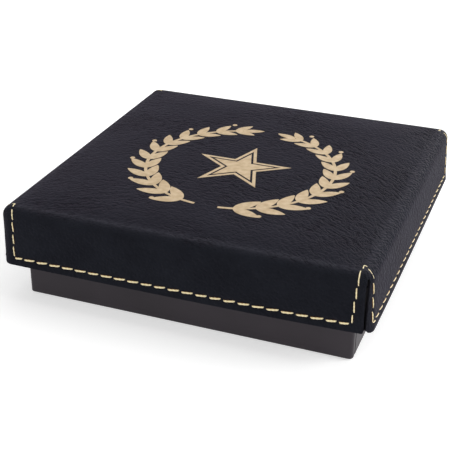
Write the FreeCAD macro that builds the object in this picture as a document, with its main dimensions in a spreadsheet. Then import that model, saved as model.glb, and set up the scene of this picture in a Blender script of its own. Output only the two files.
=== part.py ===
import FreeCAD, Part
import math
import os
import Sketcher
from FreeCAD import Placement, Rotation, Vector

# Medallion presentation box: a stitched leatherette lid over a paper-wrapped tray with a foam insert.
# Sizes are millimetres. The origin is the middle of the underside, +Z is up and the front faces -Y.

DIMENSIONS = {
    # the closed box
    "lid_width": 101.6,
    "lid_depth": 101.6,
    "overall_height": 27.3,
    "lid_height": 16.3,
    # the leatherette cover, one cross-shaped sheet folded down over the board
    "cover_thickness": 1.2,
    "cover_edge_radius": 2.7,
    "cover_corner_radius": 3.0,
    "slit_drop": 1.4,
    "slit_top_width": 0.5,
    "slit_hem_width": 1.2,
    "flap_corner_radius": 1.4,
    # the greyboard trays, scored and folded, with paper stays glued round their corners
    "lid_board_thickness": 1.9,
    "lid_board_setback": 0.6,
    "base_board_thickness": 1.9,
    "base_corner_radius": 1.1,
    "board_slit_width": 0.3,
    "stay_thickness": 0.15,
    "stay_leg": 12.0,
    "stay_setback": 0.8,
    "glue_film": 0.025,
    # papers
    "lining_thickness": 0.3,
    "wrap_thickness": 0.25,
    "turn_in": 14.0,
    "turn_under": 12.0,
    "bottom_paper_thickness": 0.25,
    "bottom_paper_inset": 1.0,
    "floor_lining_thickness": 0.25,
    # the fit of the lid and the foam insert with its recess for a medallion
    "lid_clearance": 1.35,
    "insert_clearance": 0.3,
    "insert_corner_radius": 2.0,
    "insert_headroom": 2.0,
    "recess_diameter": 70.6,
    "recess_depth": 5.0,
    "thumb_notch_radius": 9.0,
    # the stitching
    "stitch_pitch": 3.78,
    "stitch_gap": 0.55,
    "stitch_lift": 0.02,
    "thread_width": 0.7,
    "thread_height": 0.32,
    "hem_margin": 2.2,
    "column_margin": 0.9,
    # how far cutting profiles run past what they cut
    "cut_overrun": 1.0,
}

# turns in degrees, and the finger notches that share one
CORNER_TURN = 45
QUARTER_TURN = 90
FULL_TURN = 360
NOTCH_COUNT = 2

doc = FreeCAD.newDocument("presentation_box")
sheet = doc.addObject("Spreadsheet::Sheet", "Dims")
for row, (alias, value) in enumerate(DIMENSIONS.items(), 1):
    sheet.set(f"A{row}", alias)
    sheet.set(f"B{row}", str(value))
    sheet.setAlias(f"B{row}", alias)
doc.recompute()


# Expressions for the sizes that follow from the sheet

def inside(size, *walls):
    """The width and depth left inside the walls named, each a sheet alias or a bracketed expression."""
    total = " + ".join(wall if wall.startswith("(") else f"Dims.{wall}" for wall in walls)
    return tuple(f"({length} - 2 * ({total}))" for length in size)


def between(low, high):
    return f"(({high}) - ({low}))"


GLUE_GAP = "(Dims.stay_thickness + 2 * Dims.glue_film)"

LID_OUTSIDE = ("Dims.lid_width", "Dims.lid_depth")
LID_BOARD_OUTSIDE = inside(LID_OUTSIDE, "cover_thickness", GLUE_GAP)
LID_BOARD_INSIDE = inside(LID_BOARD_OUTSIDE, "lid_board_thickness")
LID_LINING_INSIDE = inside(LID_BOARD_INSIDE, "lining_thickness")
BASE_OUTSIDE = inside(LID_LINING_INSIDE, "lid_clearance")
WRAP_INSIDE = inside(BASE_OUTSIDE, "wrap_thickness")
BASE_BOARD_OUTSIDE = inside(WRAP_INSIDE, GLUE_GAP)
BASE_BOARD_INSIDE = inside(BASE_BOARD_OUTSIDE, "base_board_thickness")
TURN_IN_INSIDE = inside(BASE_BOARD_INSIDE, "wrap_thickness")
INSERT_OUTSIDE = inside(TURN_IN_INSIDE, "insert_clearance")

HEM = "(Dims.overall_height - Dims.lid_height)"
LID_BOARD_RIM = f"({HEM} + Dims.lid_board_setback)"
LID_PANEL_TOP = "(Dims.overall_height - Dims.cover_thickness)"
LID_PANEL_UNDERSIDE = f"({LID_PANEL_TOP} - Dims.lid_board_thickness)"
RIM = f"({LID_PANEL_UNDERSIDE} - Dims.lining_thickness)"
BASE_BOARD_RIM = f"({RIM} - Dims.wrap_thickness)"
WRAP_FOOT = "Dims.bottom_paper_thickness"
BASE_BOARD_FOOT = f"({WRAP_FOOT} + Dims.wrap_thickness)"
FLOOR = f"({BASE_BOARD_FOOT} + Dims.base_board_thickness)"
INSERT_FOOT = f"({FLOOR} + Dims.floor_lining_thickness)"
INSERT_TOP = f"({RIM} - Dims.insert_headroom)"
RECESS_FLOOR = f"({INSERT_TOP} - Dims.recess_depth)"

ROLL_FOOT = "(Dims.overall_height - Dims.cover_edge_radius)"
LID_BOARD_RADIUS = f"(Dims.cover_corner_radius - Dims.cover_thickness - {GLUE_GAP})"
LID_BOARD_EDGE_RADIUS = "(Dims.cover_edge_radius - Dims.cover_thickness)"
WRAP_INNER_RADIUS = "(Dims.base_corner_radius - Dims.wrap_thickness)"
BASE_BOARD_RADIUS = f"({WRAP_INNER_RADIUS} - {GLUE_GAP})"

STITCH_LINE = f"({HEM} + Dims.hem_margin)"
COLUMN_INSET = "(Dims.cover_corner_radius + Dims.column_margin)"


# Sketches and features

def new_body(label):
    body = doc.addObject("PartDesign::Body", label)
    body.Label = label
    return body


def origin_feature(body, role):
    return next(item for item in body.Origin.OriginFeatures if item.Role == role)


def new_sketch(body, name, role, offset=None):
    """A sketch on one of the body's origin planes, the offset along the plane's normal an expression."""
    sketch = body.newObject("Sketcher::SketchObject", name)
    sketch.AttachmentSupport = [(origin_feature(body, role), "")]
    sketch.MapMode = "FlatFace"
    if offset:
        sketch.setExpression("AttachmentOffset.Base.z", offset)
    return sketch


def size_constraint(sketch, name, expression, *constraint):
    index = sketch.addConstraint(Sketcher.Constraint(*constraint))
    sketch.renameConstraint(index, name)
    sketch.setExpression(f"Constraints.{name}", expression)


def rectangle(body, name, size, height):
    """A rectangle about the Z axis at the height given."""
    sketch = new_sketch(body, name, "XY_Plane", height)
    corners = [Vector(-1, -1), Vector(1, -1), Vector(1, 1), Vector(-1, 1)]
    for side in range(4):
        sketch.addGeometry(Part.LineSegment(corners[side], corners[(side + 1) % 4]))
    for side in range(4):
        sketch.addConstraint(Sketcher.Constraint("Coincident", side, 2, (side + 1) % 4, 1))
    sketch.addConstraint(Sketcher.Constraint("Symmetric", 0, 1, 0, 2, -2))
    sketch.addConstraint(Sketcher.Constraint("Symmetric", 1, 1, 1, 2, -1))
    sketch.addConstraint(Sketcher.Constraint("Horizontal", 2))
    sketch.addConstraint(Sketcher.Constraint("Vertical", 3))
    size_constraint(sketch, "width", size[0], "DistanceX", 0, 1, 0, 2, 2)
    size_constraint(sketch, "depth", size[1], "DistanceY", 1, 1, 1, 2, 2)
    return sketch


def rounded_rectangle(body, name, size, radius, height):
    """A rectangle with round corners about the Z axis at the height given."""
    sketch = new_sketch(body, name, "XY_Plane", height)
    half, small = 4, 1
    straight = half - small
    up = Vector(0, 0, 1)
    ends = [
        (Vector(-straight, -half), Vector(straight, -half)),
        (Vector(half, -straight), Vector(half, straight)),
        (Vector(straight, half), Vector(-straight, half)),
        (Vector(-half, straight), Vector(-half, -straight)),
    ]
    centres = [
        Vector(straight, -straight),
        Vector(straight, straight),
        Vector(-straight, straight),
        Vector(-straight, -straight),
    ]
    for side in range(4):
        start = math.pi / 2 * (side - 1)
        sketch.addGeometry(Part.LineSegment(*ends[side]))
        circle = Part.Circle(centres[side], up, small)
        sketch.addGeometry(Part.ArcOfCircle(circle, start, start + math.pi / 2))
    for item in range(8):
        sketch.addConstraint(Sketcher.Constraint("Tangent", item, 2, (item + 1) % 8, 1))
    for arc in (3, 5, 7):
        sketch.addConstraint(Sketcher.Constraint("Equal", 1, arc))
    sketch.addConstraint(Sketcher.Constraint("Symmetric", 0, 1, 0, 2, -2))
    sketch.addConstraint(Sketcher.Constraint("Symmetric", 2, 1, 2, 2, -1))
    sketch.addConstraint(Sketcher.Constraint("Horizontal", 4))
    sketch.addConstraint(Sketcher.Constraint("Vertical", 6))
    size_constraint(sketch, "radius", radius, "Radius", 1, small)
    size_constraint(sketch, "width", size[0], "DistanceX", 6, 1, 2, 1, 2 * half)
    size_constraint(sketch, "depth", size[1], "DistanceY", 0, 1, 4, 1, 2 * half)
    return sketch


def circle_sketch(body, name, diameter, height, reach=None):
    """A circle at the height given, on the Z axis or out along both X and Y by the reach."""
    sketch = new_sketch(body, name, "XY_Plane", height)
    sketch.addGeometry(Part.Circle(Vector(1, 1), Vector(0, 0, 1), 1))
    if reach:
        size_constraint(sketch, "reach_x", reach, "DistanceX", -1, 1, 0, 3, 1)
        size_constraint(sketch, "reach_y", reach, "DistanceY", -1, 1, 0, 3, 1)
    else:
        sketch.addConstraint(Sketcher.Constraint("Coincident", 0, 3, -1, 1))
    size_constraint(sketch, "diameter", diameter, "Diameter", 0, 2)
    return sketch


def pad(body, sketch, name, length):
    feature = body.newObject("PartDesign::Pad", name)
    feature.Profile = sketch
    feature.setExpression("Length", length)
    return feature


def pocket(body, sketch, name, length, along_normal=True):
    feature = body.newObject("PartDesign::Pocket", name)
    feature.Profile = sketch
    feature.Reversed = along_normal
    feature.setExpression("Length", length)
    return feature


def edges_where(feature, wanted):
    doc.recompute()
    return [f"Edge{index}" for index, edge in enumerate(feature.Shape.Edges, 1) if wanted(edge)]


def fillet(body, base, name, radius, wanted):
    feature = body.newObject("PartDesign::Fillet", name)
    feature.Base = (base, edges_where(base, wanted))
    feature.setExpression("Radius", radius)
    return feature


def on_level(height):
    """A test for edges that lie level at a height."""
    return lambda edge: all(abs(vertex.Z - height) < 1e-6 for vertex in edge.Vertexes)


def on_diagonal(height):
    """A test for level edges at a height that run along a corner's diagonal."""
    level = on_level(height)

    def wanted(edge):
        along = edge.Vertexes[-1].Point - edge.Vertexes[0].Point
        return level(edge) and abs(abs(along.x) - abs(along.y)) < 1e-6

    return wanted


def corner_slits(body, name, corner, reach, low, high, low_width, high_width):
    """Slits through the four upright corners, round at the top, drawn at one corner and mirrored twice.

    The profile stands across the front right corner's diagonal, at the corner point given, and is cut
    outward by the reach.
    """
    sketch = new_sketch(body, f"{name}_profile", "XZ_Plane")
    sketch.AttachmentOffset = Placement(Vector(), Rotation(Vector(0, 1, 0), CORNER_TURN))
    sketch.setExpression("AttachmentOffset.Base.x", corner[0])
    sketch.setExpression("AttachmentOffset.Base.z", corner[1])
    outline = [Vector(-1, 2), Vector(-2, 1), Vector(2, 1), Vector(1, 2)]
    for start, end in zip(outline, outline[1:]):
        sketch.addGeometry(Part.LineSegment(start, end))
    sketch.addGeometry(Part.ArcOfCircle(Part.Circle(Vector(0, 2), Vector(0, 0, 1), 1), 0, math.pi))
    for item in range(4):
        sketch.addConstraint(Sketcher.Constraint("Coincident", item, 2, (item + 1) % 4, 1))
    sketch.addConstraint(Sketcher.Constraint("Symmetric", 1, 1, 1, 2, -2))
    sketch.addConstraint(Sketcher.Constraint("Symmetric", 3, 1, 3, 2, 3, 3))
    sketch.addConstraint(Sketcher.Constraint("Horizontal", 3, 1, 3, 2))
    sketch.addConstraint(Sketcher.Constraint("PointOnObject", 3, 3, -2))
    size_constraint(sketch, "low", low, "DistanceY", -1, 1, 1, 1, 1)
    size_constraint(sketch, "high", high, "DistanceY", -1, 1, 3, 3, 2)
    size_constraint(sketch, "low_width", low_width, "DistanceX", 1, 1, 1, 2, 4)
    size_constraint(sketch, "high_width", high_width, "DistanceX", 3, 2, 3, 1, 2)
    cut = pocket(body, sketch, f"{name}_cut", reach)
    doc.recompute()
    repeat = body.newObject("PartDesign::MultiTransform", f"{name}_corners")
    repeat.Originals = [cut]
    mirrors = []
    for role in ("YZ_Plane", "XZ_Plane"):
        mirror = body.newObject("PartDesign::Mirrored", f"{name}_{role[:2].lower()}_mirror")
        mirror.MirrorPlane = (origin_feature(body, role), [""])
        mirrors.append(mirror)
    repeat.Transformations = mirrors
    body.Tip = repeat
    doc.recompute()
    return repeat


# The lid

def make_lid_cover():
    """The leatherette skin: rolled edges, slit corners whose flap ends are rounded at the hem."""
    body = new_body("lid_cover")
    outline = rounded_rectangle(body, "cover_outline", LID_OUTSIDE, "Dims.cover_corner_radius", HEM)
    block = pad(body, outline, "cover_block", "Dims.lid_height")
    rolled = fillet(body, block, "rolled_edge", "Dims.cover_edge_radius", on_level(sheet.overall_height))
    doc.recompute()
    underside = min(enumerate(rolled.Shape.Faces, 1), key=lambda item: item[1].CenterOfMass.z)[0]
    shell = body.newObject("PartDesign::Thickness", "leather_shell")
    shell.Base = (rolled, [f"Face{underside}"])
    shell.Reversed = True
    shell.setExpression("Value", "Dims.cover_thickness")
    doc.recompute()
    axis = [f"({length} / 2 - Dims.cover_corner_radius)" for length in LID_OUTSIDE]
    slits = corner_slits(
        body,
        "cover_slit",
        axis,
        "Dims.cover_corner_radius + Dims.cut_overrun",
        HEM,
        "Dims.overall_height - Dims.slit_drop",
        "Dims.slit_hem_width",
        "Dims.slit_top_width",
    )
    hem = sheet.overall_height - sheet.lid_height
    fillet(body, slits, "flap_ends", "Dims.flap_corner_radius", on_diagonal(hem))
    return body


def board_slits(body, name, within, thickness, low, high):
    """The cuts that let a board's walls fold up, from inside each corner out through it."""
    start = [f"({length} / 2 - Dims.cut_overrun)" for length in within]
    reach = f"2 * (Dims.{thickness} + Dims.cut_overrun)"
    width = "Dims.board_slit_width"
    corner_slits(body, name, start, reach, low, high, width, width)


def make_lid_board():
    """The lid's folded greyboard tray, open downward, eased where the leatherette rolls over it."""
    body = new_body("lid_board")
    outline = rounded_rectangle(body, "lid_board_outline", LID_BOARD_OUTSIDE, LID_BOARD_RADIUS, LID_BOARD_RIM)
    block = pad(body, outline, "lid_board_block", between(LID_BOARD_RIM, LID_PANEL_TOP))
    panel_top = sheet.overall_height - sheet.cover_thickness
    fillet(body, block, "lid_board_edge", LID_BOARD_EDGE_RADIUS, on_level(panel_top))
    hollow = rectangle(body, "lid_board_hollow_outline", LID_BOARD_INSIDE, LID_BOARD_RIM)
    pocket(body, hollow, "lid_board_hollow", between(LID_BOARD_RIM, LID_PANEL_UNDERSIDE))
    low = f"({LID_BOARD_RIM} - Dims.cut_overrun)"
    board_slits(body, "lid_board_slit", LID_BOARD_INSIDE, "lid_board_thickness", low, LID_PANEL_UNDERSIDE)
    return body


def make_corner_stays(label, board, radius, foot, top):
    """Four paper strips, each folded round an upright corner of a board inside its skin."""
    body = new_body(label)
    grown = tuple(f"({length} + 2 * Dims.glue_film)" for length in board)
    outer = tuple(f"({length} + 2 * Dims.stay_thickness)" for length in grown)
    inner_radius = f"({radius} + Dims.glue_film)"
    outer_radius = f"({inner_radius} + Dims.stay_thickness)"
    height = between(foot, top)
    pad(body, rounded_rectangle(body, f"{label}_outline", outer, outer_radius, foot), f"{label}_band", height)
    core = rounded_rectangle(body, f"{label}_core_outline", grown, inner_radius, foot)
    pocket(body, core, f"{label}_core", height)
    past = [f"({length} + 2 * Dims.cut_overrun)" for length in outer]
    gap = [f"({length} - 2 * Dims.stay_leg)" for length in outer]
    for name, size in (("front_back", (gap[0], past[1])), ("sides", (past[0], gap[1]))):
        window = rectangle(body, f"{label}_{name}_outline", size, foot)
        pocket(body, window, f"{label}_{name}", height)
    return body


def make_lid_lining():
    """The paper lining, open downward, up against the board's walls and panel."""
    body = new_body("lid_lining")
    outline = rectangle(body, "lid_lining_outline", LID_BOARD_INSIDE, LID_BOARD_RIM)
    pad(body, outline, "lid_lining_block", between(LID_BOARD_RIM, LID_PANEL_UNDERSIDE))
    hollow = rectangle(body, "lid_lining_hollow_outline", LID_LINING_INSIDE, LID_BOARD_RIM)
    pocket(body, hollow, "lid_lining_hollow", between(LID_BOARD_RIM, RIM))
    return body


# The stitching, sewn a margin inside the leatherette's outline: along the hems, up beside and over each slit

def make_hem_stitches(label, role, face, run, axis_role):
    """One row of stitches along the hem of the back or the right side, evenly spaced, each pulled flat."""
    body = new_body(label)
    length = f"({run} - 2 * {COLUMN_INSET})"
    count = f"round({length} / Dims.stitch_pitch)"
    pitch = f"({length} / {count})"
    sketch = new_sketch(body, f"{label}_section", role, f"(Dims.stitch_gap - {length}) / 2")
    outline = [Vector(2, 4), Vector(2, 0), Vector(3, 1), Vector(3, 3)]
    for item in range(4):
        sketch.addGeometry(Part.LineSegment(outline[item], outline[(item + 1) % 4]))
    for item in range(4):
        sketch.addConstraint(Sketcher.Constraint("Coincident", item, 2, (item + 1) % 4, 1))
    sketch.addConstraint(Sketcher.Constraint("Vertical", 0))
    sketch.addConstraint(Sketcher.Constraint("Vertical", 2))
    size_constraint(sketch, "face", f"{face} / 2", "DistanceX", -1, 1, 0, 2, 2)
    size_constraint(sketch, "line", f"{STITCH_LINE} - Dims.thread_width / 2", "DistanceY", -1, 1, 0, 2, 1)
    size_constraint(sketch, "thread_width", "Dims.thread_width", "DistanceY", 0, 2, 0, 1, 4)
    size_constraint(sketch, "thread_height", "Dims.thread_height", "DistanceX", 1, 1, 1, 2, 1)
    size_constraint(sketch, "shoulder", "Dims.thread_width / 4", "DistanceY", 1, 1, 1, 2, 1)
    size_constraint(sketch, "crown", "Dims.thread_width / 2", "DistanceY", 2, 1, 2, 2, 2)
    stitch = pad(body, sketch, f"{label}_stitch", f"{pitch} - Dims.stitch_gap")
    doc.recompute()
    row = body.newObject("PartDesign::LinearPattern", f"{label}_row")
    row.Originals = [stitch]
    row.Direction = (origin_feature(body, axis_role), [""])
    row.Reversed = axis_role == "Y_Axis"
    row.setExpression("Occurrences", count)
    row.setExpression("Length", f"{length} - {pitch}")
    body.Tip = row
    return body


def thread_section(centre, across, outward):
    """The section of a stitch: a thread pulled flat on the leatherette, with sloping shoulders."""
    reach = across * (sheet.thread_width / 2)
    crown = centre + outward * sheet.thread_height
    corners = [centre - reach, centre + reach, crown + reach / 2, crown - reach / 2]
    return Part.Face(Part.makePolygon(corners + corners[:1]))


def corner_run(face_x, face_y, swap):
    """Half of the run at one corner: the column up a face, and the stitch over the rolled edge.

    The face is at face_y and the corner at face_x. The other half has X and Y swapped.
    """
    def point(x, y, z):
        return Vector(y, x, z) if swap else Vector(x, y, z)

    inset = sheet.cover_corner_radius + sheet.column_margin
    roll = sheet.cover_edge_radius
    low = sheet.overall_height - sheet.lid_height + sheet.hem_margin
    roll_foot = sheet.overall_height - roll
    count = round((roll_foot - low) / sheet.stitch_pitch)
    pitch = (roll_foot - low) / count
    across, outward = point(1, 0, 0), point(0, 1, 0)
    stitches = []
    for step in range(count):
        foot = point(face_x - inset, face_y, low + pitch * step + sheet.stitch_gap / 2)
        stitches.append(thread_section(foot, across, outward).extrude(Vector(0, 0, pitch - sheet.stitch_gap)))
    margin = math.degrees(sheet.stitch_gap / 2 / roll)
    hub = point(face_x - inset, face_y - roll, roll_foot)
    start = thread_section(hub + outward * (roll + sheet.stitch_lift), across, outward)
    turn = point(-1, 0, 0) if swap else point(1, 0, 0)
    start.rotate(hub, turn, margin)
    stitches.append(start.revolve(hub, turn, QUARTER_TURN - 2 * margin))
    return stitches


def make_corner_stitches(label):
    """The run at the back right corner: up the back, over the top of the slit and down the right side."""
    right, back = sheet.lid_width / 2, sheet.lid_depth / 2
    roll = sheet.cover_edge_radius
    bend = sheet.cover_corner_radius + sheet.column_margin - roll
    stitches = corner_run(right, back, swap=False) + corner_run(back, right, swap=True)
    hub = Vector(right - roll, back - roll, sheet.overall_height)
    margin = math.degrees(sheet.stitch_gap / 2 / bend)
    across, up = Vector(-1, 0, 0), Vector(0, 0, 1)
    arch = thread_section(hub + across * bend, across, up)
    arch.rotate(hub, up, margin)
    stitches.append(arch.revolve(hub, up, QUARTER_TURN - 2 * margin))
    run = doc.addObject("Part::Feature", label)
    run.Label = label
    run.Shape = Part.makeCompound(stitches)
    return run


def mirrored(label, source, normal):
    copy = doc.addObject("Part::Mirroring", label)
    copy.Label = label
    copy.Source = source
    copy.Normal = normal
    return copy


def make_stitching():
    across, along = Vector(1, 0, 0), Vector(0, 1, 0)
    back = make_hem_stitches("back_hem_stitches", "YZ_Plane", "Dims.lid_depth", "Dims.lid_width", "X_Axis")
    right = make_hem_stitches("right_hem_stitches", "XZ_Plane", "Dims.lid_width", "Dims.lid_depth", "Y_Axis")
    back_right = make_corner_stitches("back_right_corner_stitches")
    back_left = mirrored("back_left_corner_stitches", back_right, across)
    return [
        mirrored("front_hem_stitches", back, along),
        back,
        mirrored("left_hem_stitches", right, across),
        right,
        mirrored("front_left_corner_stitches", back_left, along),
        mirrored("front_right_corner_stitches", back_right, along),
        back_left,
        back_right,
    ]


# The base

def make_base_board():
    """The base's folded greyboard tray, open upward."""
    body = new_body("base_board")
    outline = rounded_rectangle(
        body, "base_board_outline", BASE_BOARD_OUTSIDE, BASE_BOARD_RADIUS, BASE_BOARD_FOOT
    )
    pad(body, outline, "base_board_block", between(BASE_BOARD_FOOT, BASE_BOARD_RIM))
    hollow = rectangle(body, "base_board_hollow_outline", BASE_BOARD_INSIDE, FLOOR)
    pocket(body, hollow, "base_board_hollow", between(FLOOR, BASE_BOARD_RIM))
    high = f"({BASE_BOARD_RIM} + Dims.cut_overrun)"
    board_slits(body, "base_board_slit", BASE_BOARD_INSIDE, "base_board_thickness", FLOOR, high)
    return body


def make_base_wrap():
    """The covering paper: round the walls, over the rim and down inside, and under the bottom's edges."""
    body = new_body("base_wrap")
    outline = rounded_rectangle(body, "wrap_outline", BASE_OUTSIDE, "Dims.base_corner_radius", WRAP_FOOT)
    pad(body, outline, "wrap_block", between(WRAP_FOOT, RIM))
    window = inside(WRAP_INSIDE, "turn_under")
    opening = rectangle(body, "wrap_window_outline", window, WRAP_FOOT)
    pocket(body, opening, "wrap_window", "Dims.wrap_thickness")
    core = rounded_rectangle(body, "wrap_core_outline", WRAP_INSIDE, WRAP_INNER_RADIUS, BASE_BOARD_FOOT)
    pocket(body, core, "wrap_core", between(BASE_BOARD_FOOT, BASE_BOARD_RIM))
    mouth = rectangle(body, "wrap_mouth_outline", BASE_BOARD_INSIDE, BASE_BOARD_RIM)
    pocket(body, mouth, "wrap_mouth", "Dims.wrap_thickness")
    turn_foot = f"({BASE_BOARD_RIM} - Dims.turn_in)"
    band = rectangle(body, "wrap_turn_in_outline", BASE_BOARD_INSIDE, turn_foot)
    pad(body, band, "wrap_turn_in", between(turn_foot, RIM))
    hollow = rectangle(body, "wrap_hollow_outline", TURN_IN_INSIDE, turn_foot)
    pocket(body, hollow, "wrap_hollow", between(turn_foot, RIM))
    return body


def make_sheet(label, size, foot, thickness):
    """A flat rectangular sheet about the Z axis."""
    box = doc.addObject("Part::Box", label)
    box.Label = label
    box.setExpression("Length", size[0])
    box.setExpression("Width", size[1])
    box.setExpression("Height", f"Dims.{thickness}")
    box.setExpression("Placement.Base.x", f"-{size[0]} / 2")
    box.setExpression("Placement.Base.y", f"-{size[1]} / 2")
    box.setExpression("Placement.Base.z", foot)
    return box


def make_base():
    stay_foot = f"({BASE_BOARD_FOOT} + Dims.stay_setback)"
    stay_top = f"({BASE_BOARD_RIM} - Dims.stay_setback)"
    bottom = inside(BASE_OUTSIDE, "bottom_paper_inset")
    return [
        make_base_board(),
        make_corner_stays("base_corner_stays", BASE_BOARD_OUTSIDE, BASE_BOARD_RADIUS, stay_foot, stay_top),
        make_base_wrap(),
        make_sheet("base_bottom_paper", bottom, "0", "bottom_paper_thickness"),
        make_sheet("base_floor_lining", BASE_BOARD_INSIDE, FLOOR, "floor_lining_thickness"),
    ]


# The foam insert

def make_insert_sheet(label, foot, top):
    body = new_body(label)
    outline = rounded_rectangle(body, f"{label}_outline", INSERT_OUTSIDE, "Dims.insert_corner_radius", foot)
    pad(body, outline, f"{label}_block", between(foot, top))
    return body


def make_insert_top():
    """The die-cut top sheet: a round hole for the medallion and two thumb notches across its rim."""
    body = make_insert_sheet("insert_top_sheet", RECESS_FLOOR, INSERT_TOP)
    hole = circle_sketch(body, "recess_outline", "Dims.recess_diameter", RECESS_FLOOR)
    pocket(body, hole, "recess", "Dims.recess_depth")
    reach = "Dims.recess_diameter / 2 / sqrt(2)"
    notch = circle_sketch(body, "thumb_notch_outline", "2 * Dims.thumb_notch_radius", RECESS_FLOOR, reach)
    cut = pocket(body, notch, "thumb_notch", "Dims.recess_depth")
    doc.recompute()
    pair = body.newObject("PartDesign::PolarPattern", "thumb_notch_pair")
    pair.Originals = [cut]
    pair.Axis = (origin_feature(body, "Z_Axis"), [""])
    pair.Angle = FULL_TURN
    pair.Occurrences = NOTCH_COUNT
    body.Tip = pair
    return body


# Checking and export

def check(parts):
    for item in doc.Objects:
        if {"Invalid", "Error"} & set(item.State):
            raise RuntimeError(f"{item.Name} did not compute")
        if item.TypeId == "Sketcher::SketchObject" and not item.FullyConstrained:
            raise RuntimeError(f"{item.Name} is not fully constrained")
        if item.TypeId == "PartDesign::Pocket" and item.Shape.Volume >= item.BaseFeature.Shape.Volume:
            raise RuntimeError(f"{item.Name} cuts nothing")
    for part in parts:
        if part.Shape.isNull() or not part.Shape.isValid() or not part.Shape.Solids:
            raise RuntimeError(f"{part.Label} has no valid solid")


def export(parts):
    os.makedirs("parts", exist_ok=True)
    for part in parts:
        part.Shape.exportStep(f"parts/{part.Label}.step")


lid_stay_foot = f"({LID_BOARD_RIM} + Dims.stay_setback)"
lid_stay_top = f"({ROLL_FOOT} - Dims.stay_setback)"
all_parts = [
    make_lid_cover(),
    make_lid_board(),
    make_corner_stays("lid_corner_stays", LID_BOARD_OUTSIDE, LID_BOARD_RADIUS, lid_stay_foot, lid_stay_top),
    make_lid_lining(),
    *make_stitching(),
    *make_base(),
    make_insert_sheet("insert_backing_sheet", INSERT_FOOT, RECESS_FLOOR),
    make_insert_top(),
]
doc.recompute()
check(all_parts)
export(all_parts)
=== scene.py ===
import math

import bpy
import numpy as np
from mathutils import Matrix, Vector


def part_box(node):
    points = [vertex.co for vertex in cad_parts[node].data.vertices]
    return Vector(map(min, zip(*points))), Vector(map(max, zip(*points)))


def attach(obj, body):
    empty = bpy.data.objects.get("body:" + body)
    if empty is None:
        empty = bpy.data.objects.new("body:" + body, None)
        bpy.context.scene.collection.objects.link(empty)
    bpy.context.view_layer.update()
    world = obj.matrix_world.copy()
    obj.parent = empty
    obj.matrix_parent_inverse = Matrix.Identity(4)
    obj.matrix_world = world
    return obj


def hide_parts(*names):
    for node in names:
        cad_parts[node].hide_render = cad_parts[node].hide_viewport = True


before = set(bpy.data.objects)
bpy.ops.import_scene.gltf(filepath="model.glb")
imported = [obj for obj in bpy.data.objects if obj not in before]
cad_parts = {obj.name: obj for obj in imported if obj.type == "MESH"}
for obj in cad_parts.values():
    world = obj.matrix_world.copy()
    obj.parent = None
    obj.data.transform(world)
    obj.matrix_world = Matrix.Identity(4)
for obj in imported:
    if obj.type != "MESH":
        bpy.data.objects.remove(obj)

bl_info = {
    "name": "Medallion presentation box",
    "version": (1, 0, 0),
    "blender": (4, 5, 0),
    "location": "3D View > Sidebar > Presentation box",
    "description": "Dresses the packed box in stitched leatherette, wrapped paper and foam",
    "category": "Object",
}

MM = 0.001
QUARTER = math.pi / 2
FULL_TURN = 2 * math.pi
UP = Vector((0, 0, 1))
SIDES = ("front", "right", "back", "left")
CORNERS = ("front_right", "back_right", "back_left", "front_left")
SHEET = "sheet"
TONE = "tone"
FOLD_HIGHLIGHT = "fold"
STITCH_SHADE = "yarn"
SEAM_SHADE = "seam"
PER_METRE = 1 / MM
MERGE = 1e-7

# How finely the pieces are divided, and how many groove widths or corner radii the finer parts reach

LEATHER_ROWS = {"flat": 10, "rise": 26, "roll": 8, "wall": 10, "groove": 13, "hem": 5}
LEATHER_COLUMNS = {"bend": 7, "beside": 13, "side": 101}
GROOVE_ROWS_REACH = 1.6
GROOVE_ROWS_END = 2.0
BESIDE_CORNER = 2.4
STITCH_SIDES = 15
STITCH_CUTS = 15
HEM_POINTS = 80
COLUMN_POINTS = 13
ARCH_POINTS = 14
LEAF_POINTS = 28
BERRY_POINTS = 16
STEM_STEPS = 48
PAPER_BEND = 5
PAPER_COLUMNS = 20
FOAM_BEND = 6
ROUND_CUT = 96

# Angles in degrees at which an edge counts as crisp or as an edge to ease

CRISP = 40
CRISP_THREAD = 60
CRISP_PAPER = 35
EASED_LEATHER = 55
EASED_FOAM = 60

# Forms of the leatherette, as exponents and as shares of the sizes they go with

CLIMB_ONSET = 4
FLARE_ONSET = 6
CROWN_SWELL = 0.6
SEAM_END = 4
# Where the painted highlight near the fold lies and how wide it is, in radii of the rolled edge
FOLD_PLACE = 1.05
FOLD_WIDTH = 0.4

# Forms of the stitches, their chance differences and their shares of a seam

YARNS = 3
YARN_LOBE = 0.14
# How much the yarn lobes lighten and darken the stitch's painted shade
YARN_LIGHT = 2
END_TAPER = 0.5
TAPER_ONSET = 4
SINK_ONSET = 9
LENGTH_CHANCE = 0.03
LEAN_CHANCE = 0.25
FIRST_STITCH = 0.70
LAST_STITCHES = (0.88, 0.81)
FOOT_STITCH = 0.75
ARCH_STITCHES = [1.4, 0.85, 1.1]
SEED = 7

# Forms of the ornament, as shares of the sizes they go with

LEAF_TAPER = 0.25
LEAF_POINT = 0.6
FIRST_PAIR = 0.6
BERRY_OFF = 1.5
BERRY_SIZE = 0.8
STAR_POINTS = 5
STAR_CORE = 0.66

# Seams of the paper, in half widths of a seam

SEAM_STEPS = (-1.0, -0.6, 0.0, 0.6, 1.0)
SEAM_FLOOR = 0.7
# How far from a seam's middle its painted shade reaches
SEAM_DARK = 0.8

# Places and sizes of the lights in metres

LIGHTS = {
    "key": ((0.95, 0.2, 0.5), 0.7),
    "top": ((-0.1, 0.3, 1.1), 0.9),
    "fill": ((-0.35, -1.1, 0.35), 0.8),
    "rim": ((0.25, 0.95, 0.26), 0.5),
}

LID_LOW, LID_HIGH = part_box("lid_cover")
SEAM_LOW, SEAM_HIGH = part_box("front_hem_stitches")


# Settings

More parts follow.
